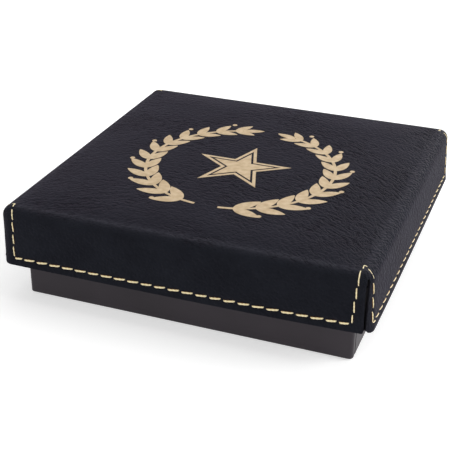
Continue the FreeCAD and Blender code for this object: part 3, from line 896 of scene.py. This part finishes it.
def make_wrap(look):
    """The covering paper: under the bottom, up the walls, over the rim and down inside."""
    low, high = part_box("base_wrap")
    half, top, bottom = high.x, high.z, low.z
    rounding = look.edge_round
    bend = arc(PAPER_BEND)
    inset = np.concatenate([
        [look.turn_under + look.paper_thickness],
        rounding * (1 - np.sin(bend)),
        rounding * (1 - np.cos(bend)),
        look.wall - rounding + rounding * np.sin(bend),
        [look.wall],
    ])
    height = np.concatenate([
        [bottom],
        bottom + rounding * (1 - np.cos(bend)),
        top - rounding + rounding * np.sin(bend),
        top - rounding * (1 - np.cos(bend)),
        [top - look.turn_in - look.paper_thickness],
    ])
    reach = half - look.corner_radius
    seam = (half - look.seam_inset) / reach
    beside = np.array(SEAM_STEPS) * look.seam_width / 2 / reach
    between = np.linspace(-seam, seam, PAPER_COLUMNS)[1:-1]
    straight = np.concatenate([[-1], beside - seam, between, beside + seam, [1]])
    along, lean, quarter = skin_columns(straight, QUARTER / 2, PAPER_BEND)
    side, out = skin_places(half, look.corner_radius, along, lean[None, :], inset)
    off_seam = np.abs(np.abs(along) - seam) * reach / (look.seam_width / 2)
    in_seam = (quarter % 2 == 1) & (off_seam < SEAM_FLOOR)
    out = out - look.seam_depth * in_seam[None, :] * (inset < look.wall / 2)[:, None]
    piece = wrap("base_paper", side, out, height[:, None], quarter, lambda row, column: False)
    apply(piece, "SOLIDIFY", thickness=look.paper_thickness, offset=-1.0, use_even_offset=True)
    clean(piece)
    x, y, z = points_of(piece).T
    # Painted shade: the seams beside the corners are painted dark
    off_seam = np.abs(np.abs(y) - seam * reach) / (look.seam_width / 2)
    painted_seam_shade = (np.abs(x) > half - look.wall / 2) & (off_seam < SEAM_DARK)
    carry(piece, SEAM_SHADE, painted_seam_shade.astype(float))
    smooth(piece, CRISP_PAPER)
    return piece


# Foam insert

def block(name, low, high):
    """A block between two corners."""
    deselect()
    middle = (low + high) / 2
    bpy.ops.mesh.primitive_cube_add(size=1, location=middle, scale=high - low)
    return settle(name)


def is_upright(piece, edge):
    """Whether an edge stands upright."""
    first, second = ends(piece, edge)
    return (first.xy - second.xy).length < MERGE


def round_corners(piece, radius):
    """Round the upright edges of a block."""
    select_parts(piece, "edges", lambda edge: is_upright(piece, edge))
    bpy.ops.mesh.bevel(offset=radius, segments=FOAM_BEND, affect="EDGES")
    bpy.ops.object.mode_set(mode="OBJECT")


def make_backing(look):
    """The foam block that fills the base under the facing."""
    low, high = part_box("insert_backing_sheet")
    piece = block("insert_foam", low, high)
    round_corners(piece, look.corner_radius)
    ease_edges(piece, look.edge_ease / 2, segments=2, degrees=EASED_FOAM)
    clean(piece)
    smooth(piece)
    return piece


def cut_round(piece, radius, centre, low, high):
    """Cut a round hole right through a sheet."""
    deselect()
    bpy.ops.mesh.primitive_cylinder_add(
        vertices=ROUND_CUT, radius=radius, depth=3 * (high.z - low.z),
        location=(centre.x, centre.y, (low.z + high.z) / 2))
    cutter = settle("cutter")
    apply(piece, "BOOLEAN", operation="DIFFERENCE", object=cutter, solver="EXACT")
    bpy.data.objects.remove(cutter)


def make_facing(look):
    """The velour-faced foam sheet with the round recess and a thumb notch at two opposite sides of it."""
    low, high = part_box("insert_top_sheet")
    piece = block("insert_velour", low, high)
    round_corners(piece, look.corner_radius)
    cut_round(piece, look.recess_radius, Vector((0, 0)), low, high)
    diagonal = Vector((1, 1)).normalized() * look.recess_radius
    for centre in (diagonal, -diagonal):
        cut_round(piece, look.notch_radius, centre, low, high)
    clean(piece)
    ease_edges(piece, look.edge_ease, segments=4, degrees=EASED_FOAM)
    clean(piece)
    smooth(piece)
    return piece


# Materials

def new_material(name):
    """An empty material with its node tree and its surface shader."""
    material = bpy.data.materials.new(name)
    material.use_nodes = True
    return material, material.node_tree, material.node_tree.nodes["Principled BSDF"]


def add(tree, kind, values=None, **settings):
    """A node with its settings, and with values or links on its sockets."""
    node = tree.nodes.new(kind)
    for name, value in settings.items():
        setattr(node, name, value)
    connect(tree, node, values or {})
    return node


def connect(tree, node, values):
    """Put values or links on a node's sockets."""
    for name, value in values.items():
        if isinstance(value, bpy.types.NodeSocket):
            tree.links.new(value, node.inputs[name])
        else:
            node.inputs[name].default_value = value


def blend(tree, factor, first, second):
    """The first colour where the factor is 0, the second where it is 1."""
    node = add(tree, "ShaderNodeMix", data_type="RGBA")
    connect(tree, node, {0: factor, 6: first, 7: second})
    return node.outputs[2]


def sums(tree, kind, *values):
    """A sum of arithmetic on numbers."""
    return add(tree, "ShaderNodeMath", dict(enumerate(values)), operation=kind).outputs[0]


def span(tree, value, low, high, to_low=0.0, to_high=1.0):
    """A value's span mapped to another."""
    return add(tree, "ShaderNodeMapRange", {
        "Value": value, "From Min": low, "From Max": high, "To Min": to_low, "To Max": to_high}).outputs[0]


def noise(tree, vector, scale, detail=2.0, roughness=0.5):
    """Noise of this scale; the first output is its value and the second a colour."""
    return add(tree, "ShaderNodeTexNoise", {
        "Vector": vector, "Scale": scale, "Detail": detail, "Roughness": roughness}).outputs


def bump(tree, height, distance):
    """A surface roughened by a height from 0 to 1."""
    return add(tree, "ShaderNodeBump", {"Height": height, "Distance": distance, "Strength": 1.0}).outputs[0]


def dimmed(tint, light):
    """A colour with this share of its light."""
    return [part * light for part in tint[:3]] + [1.0]


def own_place(tree):
    """The place on the piece itself."""
    return add(tree, "ShaderNodeTexCoord").outputs["Object"]


def attribute(tree, name, output):
    """A value that the mesh carries."""
    return add(tree, "ShaderNodeAttribute", attribute_name=name, attribute_type="GEOMETRY").outputs[output]


def leather_grain(tree, look):
    """Fine wavy wrinkles that fan out across the sheet, deeper in patches, and pebbles down its sides."""
    sheet = attribute(tree, SHEET, "Vector")
    waves = noise(tree, sheet, 1 / look.wrinkle_length, 1.0)[1]
    wavy = add(tree, "ShaderNodeVectorMath", {
        0: waves, 1: [2.2 * look.wrinkle_spacing] * 3, 2: sheet}, operation="MULTIPLY_ADD").outputs[0]
    parts = add(tree, "ShaderNodeSeparateXYZ", {0: wavy}).outputs
    off_middle = sums(tree, "MAXIMUM", sums(tree, "ABSOLUTE", parts[0]), sums(tree, "ABSOLUTE", parts[1]))
    on_top = span(tree, off_middle, LID_HIGH.x - look.wrinkle_length, LID_HIGH.x, 1.0, 0.4)
    lean = sums(tree, "MULTIPLY_ADD", parts[0], look.grain_fan, look.grain_lean)
    across = sums(tree, "MULTIPLY_ADD", parts[0], lean, parts[1])
    fanned = add(tree, "ShaderNodeCombineXYZ", {0: parts[0], 1: across}).outputs[0]
    stretched = add(tree, "ShaderNodeMapping", {
        "Vector": fanned, "Scale": (1 / look.wrinkle_length, 1 / look.wrinkle_spacing, 1.0)}).outputs[0]
    wrinkles = span(tree, noise(tree, stretched, 1.0, 3.0, 0.6)[0], 0.34, 0.56)
    patches = span(tree, noise(tree, sheet, 38.0, 2.0)[0], 0.38, 0.62, 0.15, 1.0)
    pebbles = add(tree, "ShaderNodeTexVoronoi", {
        "Vector": sheet, "Scale": 1.2 * PER_METRE, "Smoothness": 0.3}, feature="SMOOTH_F1").outputs[0]
    depth = sums(tree, "MULTIPLY", patches, on_top)
    wrinkled = sums(tree, "MULTIPLY_ADD", wrinkles, depth, sums(tree, "SUBTRACT", 1.0, depth))
    pebbled = sums(tree, "MULTIPLY", pebbles, span(tree, on_top, 0.4, 1.0, 1.2, 0.5))
    return sums(tree, "ADD", wrinkled, pebbled), pebbles, sheet


def leather_material(look):
    """Black leatherette with an embossed grain, with painted shade in the creases of its grain and a
    painted highlight along its folds and the flaps' free edges.
    """
    material, tree, shader = new_material("black_leatherette")
    height, pebbles, sheet = leather_grain(tree, look)
    mottle = span(tree, noise(tree, sheet, 55.0, 6.0, 0.75)[0], 0.35, 0.65, 0.6, 1.0)
    light = sums(tree, "MULTIPLY", span(tree, height, 0.1, 1.2), mottle)
    # Painted shade: the low places of the grain take the darker crease colour
    tone = blend(tree, light, look.crease, look.colour)
    # Painted highlight along the fold and the flaps' free edges, broken up by the pebbles
    highlight_share = sums(tree, "MULTIPLY", attribute(tree, FOLD_HIGHLIGHT, "Fac"), span(tree, pebbles, 0.2, 0.8, 0.1, 0.28))
    connect(tree, shader, {
        "Base Color": blend(tree, highlight_share, tone, look.rubbed),
        "Roughness": span(tree, height, 0.1, 1.2, 0.6, 0.45),
        "Specular IOR Level": 0.005,
        "Sheen Weight": 0.047,
        "Sheen Roughness": 0.5,
        "Sheen Tint": look.sheen,
        "Normal": bump(tree, height, look.wrinkle_depth),
    })
    return material


def raw_edge_material(look):
    """The cut edge of the leatherette: a fibrous core."""
    material, tree, shader = new_material("leatherette_cut_edge")
    fibres = noise(tree, own_place(tree), 4.0 * PER_METRE, 3.0)[0]
    connect(tree, shader, {
        "Base Color": blend(tree, span(tree, fibres, 0.3, 0.7), look.crease, look.raw_edge),
        "Roughness": 0.85,
        "Specular IOR Level": 0.05,
        "Normal": bump(tree, fibres, 0.06 * MM),
    })
    return material


def backing_material(look):
    """The woven backing on the inner face of the leatherette."""
    material, tree, shader = new_material("leatherette_backing")
    sheet = attribute(tree, SHEET, "Vector")
    threads = [
        add(tree, "ShaderNodeTexWave", {"Vector": sheet, "Scale": 0.35 * PER_METRE, "Distortion": 0.4},
            bands_direction=axis).outputs[1] for axis in ("X", "Y")]
    weave = sums(tree, "MULTIPLY", *threads)
    connect(tree, shader, {
        "Base Color": blend(tree, weave, look.crease, look.raw_edge),
        "Roughness": 0.9,
        "Normal": bump(tree, weave, 0.08 * MM),
    })
    return material


def thread_material(look):
    """Twisted pale gold thread with a soft lustre, with painted shade in a golden brown on the sides of
    each stitch and between its yarns.
    """
    material, tree, shader = new_material("pale_gold_thread")
    yarn = attribute(tree, STITCH_SHADE, "Fac")
    tone = attribute(tree, TONE, "Fac")
    fibres = noise(tree, own_place(tree), 9.0 * PER_METRE, 2.0)[0]
    light = sums(tree, "MULTIPLY_ADD", fibres, 0.35, sums(tree, "MULTIPLY_ADD", tone, 0.15, yarn))
    connect(tree, shader, {
        # Painted shade: low values take the shade colour
        "Base Color": blend(tree, span(tree, light, 0.42, 0.98), look.shade, look.colour),
        "Roughness": 0.55,
        "Sheen Weight": 0.15,
        "Normal": bump(tree, fibres, 0.03 * MM),
    })
    return material


def gold_material(look):
    """A thin matt gold layer, laid in fine lines over the grain."""
    material, tree, shader = new_material("matt_gold_layer")
    place = own_place(tree)
    lines = add(tree, "ShaderNodeTexWave", {
        "Vector": place, "Scale": 1.3 * PER_METRE, "Distortion": 0.6}, bands_direction="Y").outputs[1]
    patches = noise(tree, place, 0.6 * PER_METRE, 4.0)[0]
    cover = sums(tree, "MULTIPLY_ADD", lines, 0.25, span(tree, patches, 0.25, 0.75))
    connect(tree, shader, {
        "Base Color": blend(tree, cover, look.shade, look.colour),
        "Metallic": 0.15,
        "Roughness": span(tree, patches, 0.3, 0.7, 0.5, 0.65),
        "Normal": bump(tree, cover, 0.03 * MM),
    })
    return material


def paper_material(name, tint, roughness, depth):
    """Coloured paper with a fine fibrous tooth, with painted shade in the seams that a piece may have."""
    material, tree, shader = new_material(name)
    place = own_place(tree)
    tooth = noise(tree, place, 3.0 * PER_METRE, 4.0, 0.6)[0]
    cloud = noise(tree, place, 0.05 * PER_METRE, 3.0)[0]
    clouded = blend(tree, span(tree, cloud, 0.3, 0.7), dimmed(tint, 0.75), list(tint))
    connect(tree, shader, {
        # Painted shade in the seams, at a fifth of the paper's colour
        "Base Color": blend(tree, attribute(tree, SEAM_SHADE, "Fac"), clouded, dimmed(tint, 0.2)),
        "Roughness": span(tree, tooth, 0.3, 0.7, roughness, roughness + 0.1),
        "Specular IOR Level": 0.2,
        "Normal": bump(tree, tooth, depth),
    })
    return material


def board_material(look):
    """Recycled board with pale and dark flecks, coloured dark as painted shade for where it shows in the
    corner slits.
    """
    material, tree, shader = new_material("speckled_dyed_board")
    place = own_place(tree)
    flecks = noise(tree, place, 1.2 * PER_METRE, 5.0, 0.7)[0]
    fibres = add(tree, "ShaderNodeTexVoronoi", {
        "Vector": place, "Scale": 0.8 * PER_METRE}, feature="F1").outputs[0]
    light = sums(tree, "MULTIPLY_ADD", fibres, 0.35, span(tree, flecks, 0.3, 0.65))
    connect(tree, shader, {
        "Base Color": blend(tree, light, dimmed(look.board, 0.55), list(look.board)),
        "Roughness": 0.9,
        "Specular IOR Level": 0.1,
        "Normal": bump(tree, flecks, 0.05 * MM),
    })
    return material


def velour_material(look):
    """Short black velour with a soft sheen and a nap that lies in patches."""
    material, tree, shader = new_material("black_velour")
    place = own_place(tree)
    pile = noise(tree, place, 4.5 * PER_METRE, 2.0, 0.7)[0]
    nap = noise(tree, place, 0.06 * PER_METRE, 3.0)[0]
    light = sums(tree, "MULTIPLY", pile, span(tree, nap, 0.3, 0.7, 0.8, 1.4))
    connect(tree, shader, {
        "Base Color": blend(tree, light, dimmed(look.facing, 0.5), list(look.facing)),
        "Roughness": 0.95,
        "Specular IOR Level": 0.1,
        "Sheen Weight": 0.35,
        "Sheen Roughness": 0.4,
        "Normal": bump(tree, pile, 0.15 * MM),
    })
    return material


def foam_material(look):
    """Fine open-celled foam, with painted shade in its pits."""
    material, tree, shader = new_material("black_foam")
    cells = add(tree, "ShaderNodeTexVoronoi", {
        "Vector": own_place(tree), "Scale": 1.8 * PER_METRE}, feature="F1").outputs[0]
    connect(tree, shader, {
        # Painted shade in the foam's pits, where the cells' bump is lowest
        "Base Color": blend(tree, span(tree, cells, 0.1, 0.6), dimmed(look.foam, 0.4), list(look.foam)),
        "Roughness": 0.95,
        "Normal": bump(tree, cells, 0.2 * MM),
    })
    return material


def seen_or_mirrored(tree):
    """One for what the camera sees, directly or in a reflection, and nothing for light on other things."""
    path = add(tree, "ShaderNodeLightPath").outputs
    seen = path["Is Camera Ray"]
    for ray in ("Is Glossy Ray", "Is Transmission Ray"):
        seen = sums(tree, "MAXIMUM", seen, path[ray])
    return seen


def floor_material(stage):
    """A pale floor that the camera sees as white where nothing shades it."""
    material, tree, shader = new_material("studio_floor")
    grain = noise(tree, own_place(tree), 8.0, 2.0)[0]
    tint = [[stage.floor * part] * 3 + [1.0] for part in (0.99, 1.0)]
    seen = seen_or_mirrored(tree)
    connect(tree, shader, {
        "Base Color": blend(tree, grain, *tint),
        "Roughness": 0.9,
        "Specular IOR Level": 0.0,
        "Emission Color": (1.0, 1.0, 1.0, 1.0),
        "Emission Strength": sums(tree, "MULTIPLY", seen, stage.lift),
    })
    return material


# Stage

def make_camera(stage):
    """The camera of the photograph."""
    forward = Vector((
        math.sin(stage.yaw) * math.cos(stage.pitch),
        math.cos(stage.yaw) * math.cos(stage.pitch),
        -math.sin(stage.pitch)))
    right = Vector((math.cos(stage.yaw), -math.sin(stage.yaw), 0))
    down = forward.cross(right)
    cosine, sine = math.cos(stage.roll), math.sin(stage.roll)
    right, down = right * cosine + down * sine, down * cosine - right * sine
    data = bpy.data.cameras.new("camera")
    data.lens = stage.lens
    data.clip_start = 10 * MM
    camera = bpy.data.objects.new("camera", data)
    camera.matrix_world = Matrix((right, -down, -forward)).transposed().to_4x4()
    camera.location = stage.eye
    bpy.context.scene.collection.objects.link(camera)
    bpy.context.scene.camera = camera


def make_light(name, place, size, power):
    """A soft square light that faces the box."""
    data = bpy.data.lights.new(name, "AREA")
    data.size = size
    data.energy = power
    light = bpy.data.objects.new(name, data)
    light.location = place
    light.rotation_euler = Vector(place).to_track_quat("Z", "Y").to_euler()
    bpy.context.scene.collection.objects.link(light)


def make_world(stage):
    """Light from all round, which the camera and reflections see as white."""
    world = bpy.data.worlds.new("studio")
    world.use_nodes = True
    tree = world.node_tree
    seen = seen_or_mirrored(tree)
    background = tree.nodes["Background"]
    connect(tree, background, {
        "Color": (1.0, 1.0, 1.0, 1.0), "Strength": span(tree, seen, 0.0, 1.0, stage.ambient, 1.0)})
    bpy.context.scene.world = world


# Operators

def hand_over(piece, body, node):
    """Hang a piece on the body that it rides on and hide the solid that it stands for."""
    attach(piece, body)
    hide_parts(node)


class BOX_OT_leather_cover(bpy.types.Operator):
    """Fold the leatherette over the lid"""
    bl_idname = "presentation_box.leather_cover"
    bl_label = "Leather cover"

    def execute(self, context):
        look = context.scene.box_leather
        piece = make_cover(look, context.scene.box_thread)
        hand_over(piece, "lid", "lid_cover")
        return {"FINISHED"}


class BOX_OT_stitching(bpy.types.Operator):
    """Sew the hems and the corners of the cover"""
    bl_idname = "presentation_box.stitching"
    bl_label = "Stitching"

    def execute(self, context):
        look, thread = context.scene.box_leather, context.scene.box_thread
        chance = np.random.default_rng(SEED)
        material = thread_material(thread)
        loose, tight = stitch_pattern(thread, thread.radius), stitch_pattern(thread, thread.tight_radius)
        runs = []
        for quarter, (side, corner) in enumerate(zip(SIDES, CORNERS)):
            pattern, tilt = (loose, thread.tilt) if side in ("front", "back") else (tight, thread.back_tilt)
            hem, bend = hem_seam(look, thread, quarter), corner_seam(look, thread, quarter)
            runs.append((side + "_hem", pattern, hem, hem_shares(thread), tilt))
            runs.append((corner + "_corner", tight, bend, corner_shares(thread), thread.tilt))
        for name, pattern, (points, normals), shares, tilt in runs:
            points[:, 2] += hem_lift(look, *points.T)
            seam = splayed(look, points), normals
            piece = sew(name + "_thread", pattern, seam, shares, tilt, thread, chance)
            dress(piece, material)
            hand_over(piece, "lid", name + "_stitches")
        for pattern in (loose, tight):
            bpy.data.objects.remove(pattern)
        return {"FINISHED"}


class BOX_OT_ornament(bpy.types.Operator):
    """Lay the gold ornament on the lid"""
    bl_idname = "presentation_box.ornament"
    bl_label = "Ornament"

    def execute(self, context):
        look = context.scene.box_ornament
        piece = make_ornament(look, LID_HIGH.z + context.scene.box_leather.crown)
        dress(piece, gold_material(look))
        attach(piece, "lid")
        return {"FINISHED"}


class BOX_OT_base_paper(bpy.types.Operator):
    """Wrap the base in its covering paper"""
    bl_idname = "presentation_box.base_paper"
    bl_label = "Base paper"

    def execute(self, context):
        look = context.scene.box_base
        piece = make_wrap(look)
        dress(piece, paper_material("black_wrap_paper", look.paper, roughness=0.42, depth=0.02 * MM))
        hand_over(piece, "base", "base_wrap")
        return {"FINISHED"}


class BOX_OT_foam_insert(bpy.types.Operator):
    """Make the foam insert with its velour facing"""
    bl_idname = "presentation_box.foam_insert"
    bl_label = "Foam insert"

    def execute(self, context):
        look = context.scene.box_insert
        makers = (
            (make_facing, velour_material, "insert_top_sheet", "insert_velour"),
            (make_backing, foam_material, "insert_backing_sheet", "insert_foam"),
        )
        for make, material, node, slot in makers:
            piece = make(look)
            dress(piece, material(look))
            hand_over(piece, "insert", node)
        return {"FINISHED"}


class BOX_OT_boards_and_papers(bpy.types.Operator):
    """Give the boards, stays and flat papers their materials"""
    bl_idname = "presentation_box.boards_and_papers"
    bl_label = "Boards and papers"

    def execute(self, context):
        look = context.scene.box_base
        board = board_material(look)
        # The stays' dark colour is painted shade for the corner slits
        stay = paper_material("black_stay_paper", look.stay, roughness=0.8, depth=0.03 * MM)
        lining = paper_material("black_lining_paper", look.lining, roughness=0.55, depth=0.03 * MM)
        finishes = {
            "lid_board": board,
            "base_board": board,
            "lid_corner_stays": stay,
            "base_corner_stays": stay,
            "lid_lining": lining,
            "base_floor_lining": lining,
            "base_bottom_paper": lining,
        }
        for name, material in finishes.items():
            dress(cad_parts[name], material)
        return {"FINISHED"}


class BOX_OT_stage(bpy.types.Operator):
    """Set up the camera, the floor and the lights"""
    bl_idname = "presentation_box.stage"
    bl_label = "Stage"

    def execute(self, context):
        stage = context.scene.box_stage
        deselect()
        bpy.ops.mesh.primitive_plane_add(size=stage.floor_size)
        floor = settle("studio_floor")
        dress(floor, floor_material(stage))
        make_camera(stage)
        for name, (place, size) in LIGHTS.items():
            make_light(name + "_light", place, size, getattr(stage, name))
        make_world(stage)
        context.scene.view_settings.view_transform = "Standard"
        return {"FINISHED"}


OPERATORS = (
    BOX_OT_leather_cover,
    BOX_OT_stitching,
    BOX_OT_ornament,
    BOX_OT_base_paper,
    BOX_OT_foam_insert,
    BOX_OT_boards_and_papers,
    BOX_OT_stage,
)


class BOX_PT_panel(bpy.types.Panel):
    """The steps of dressing the box, in order"""
    bl_idname = "BOX_PT_panel"
    bl_label = "Presentation box"
    bl_space_type = "VIEW_3D"
    bl_region_type = "UI"
    bl_category = "Presentation box"

    def draw(self, context):
        for operator in OPERATORS:
            self.layout.operator(operator.bl_idname)
        for name in GROUPS:
            settings = self.layout.box()
            group = getattr(context.scene, name)
            for field in group.__annotations__:
                settings.prop(group, field, text=field.replace("_", " ").capitalize())


def register():
    for group in GROUPS.values():
        bpy.utils.register_class(group)
    for name, group in GROUPS.items():
        setattr(bpy.types.Scene, name, bpy.props.PointerProperty(type=group))
    for operator in OPERATORS:
        bpy.utils.register_class(operator)
    bpy.utils.register_class(BOX_PT_panel)


def unregister():
    bpy.utils.unregister_class(BOX_PT_panel)
    for operator in reversed(OPERATORS):
        bpy.utils.unregister_class(operator)
    for name in GROUPS:
        delattr(bpy.types.Scene, name)
    for group in GROUPS.values():
        bpy.utils.unregister_class(group)


def main():
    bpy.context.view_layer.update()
    register()
    for step in OPERATORS:
        group, name = step.bl_idname.split(".")
        getattr(getattr(bpy.ops, group), name)()


if __name__ == "__main__":
    main()
